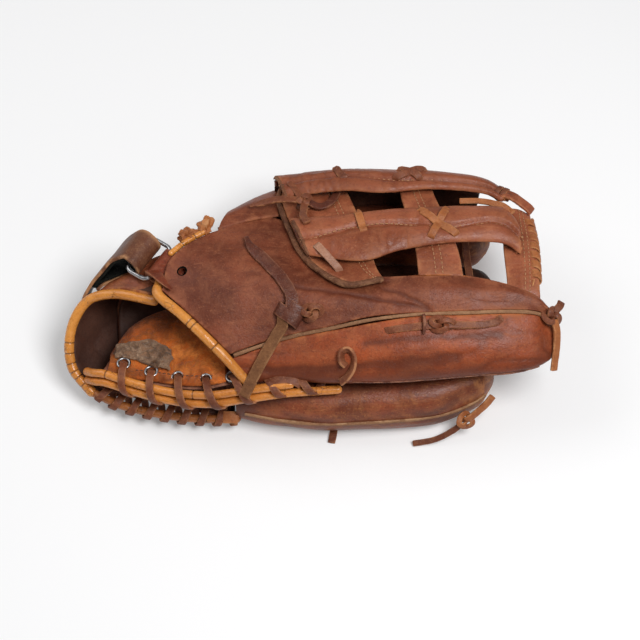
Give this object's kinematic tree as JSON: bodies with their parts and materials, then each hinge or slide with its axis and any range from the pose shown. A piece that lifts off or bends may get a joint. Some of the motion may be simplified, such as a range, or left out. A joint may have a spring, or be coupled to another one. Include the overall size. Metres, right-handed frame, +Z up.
{
  "type": "softball glove",
  "caption": "Used leather fielder's glove folded shut on its finger side, with a laced heel, wrist strap and ring, finger and thumb stalls and a double-post web, opening along its heel crease.",
  "frame": {"origin": "under the middle of the whole, on the surface it lies on", "axes": "+X from the wrist to the fingertips, +Y from the open mouth to the web, +Z up from the finger side to the thumb side"},
  "size_m": [0.3378, 0.1828, 0.1032],
  "materials": {
    "shell": "worn, oiled, half glossy",
    "palm": "worn, oiled, half glossy",
    "web": "worn, oiled, half glossy",
    "lining": "napped suede",
    "piping": "glossy, cracked",
    "lace": "rawhide, satin",
    "welt": "raw edge, matt",
    "dark_edge": "raw edge, darkened",
    "felt": "matted wool felt",
    "pile": "deep black pile",
    "steel": "polished, scratched",
    "vent": "blackened"
  },
  "bodies": {
    "finger_side": {"pinky_stall": "shell", "ring_stall": "shell", "middle_stall": "shell", "index_stall": "shell", "pinky_welt": "welt", "finger_back": "shell", "heel_piping_pinky": "piping", "heel_lace_pinky": "lace", "heel_pad_pinky": "felt", "web_far_post": "web", "web_lace_3": "lace", "web_lace_4": "lace", "pinky_tie": "lace", "pinky_lace_end": "lace", "finger_lace": "lace", "palm": "palm", "palm_lining": "lining", "wrist_band": "shell", "wrist_loop_piping": "piping", "wrist_strap": "shell", "strap_lining": "pile", "crotch_panel": "shell", "web_crossbar": "web"},
    "thumb_side": {"heel_lace_thumb": "lace", "eyelet_1": "steel", "eyelet_2": "steel", "eyelet_3": "steel", "eyelet_4": "steel", "eyelet_5": "steel", "heel_piping_lining": "piping", "heel_piping_palm": "piping", "web_tip_lace": "lace", "vent_eyelet": "vent", "thumb_back": "shell", "thumb_front": "palm", "thumb_welt": "welt", "wrist_piping": "piping", "thumb_stay": "felt", "heel_pad_thumb": "felt", "ring_tab": "shell", "lining_felt": "felt", "web_near_post": "web", "web_base": "web", "web_base_binding": "dark_edge", "web_top_bar": "web", "pull_lace": "lace", "thumb_tie": "lace", "thumb_loop_end": "lace", "thumb_tip_tie": "lace", "web_base_tie": "lace", "web_tip_thong": "lace", "web_cross_lace": "lace", "web_lace_1": "lace", "web_lace_2": "lace", "back_binding": "piping"},
    "ring": {"strap_ring": "steel"}
  },
  "joints": [
    {"name": "glove_fold", "type": "hinge", "parent": "finger_side", "child": "thumb_side", "pos_m": [-0.1371, -0.0412, 0.027], "axis": [-0.9285, -0.315, -0.1968], "range_deg": [0, 35], "deforming": ["palm", "palm_lining", "lining_felt", "wrist_band", "wrist_loop_piping", "wrist_strap", "strap_lining", "crotch_panel", "web_base", "web_base_binding", "web_crossbar"]},
    {"name": "ring_swivel", "type": "hinge", "parent": "thumb_side", "child": "ring", "pos_m": [-0.1026, 0.00786, 0.078], "axis": [0.5501, 0.8351, 0], "range_deg": [-8, 8]}
  ]
}
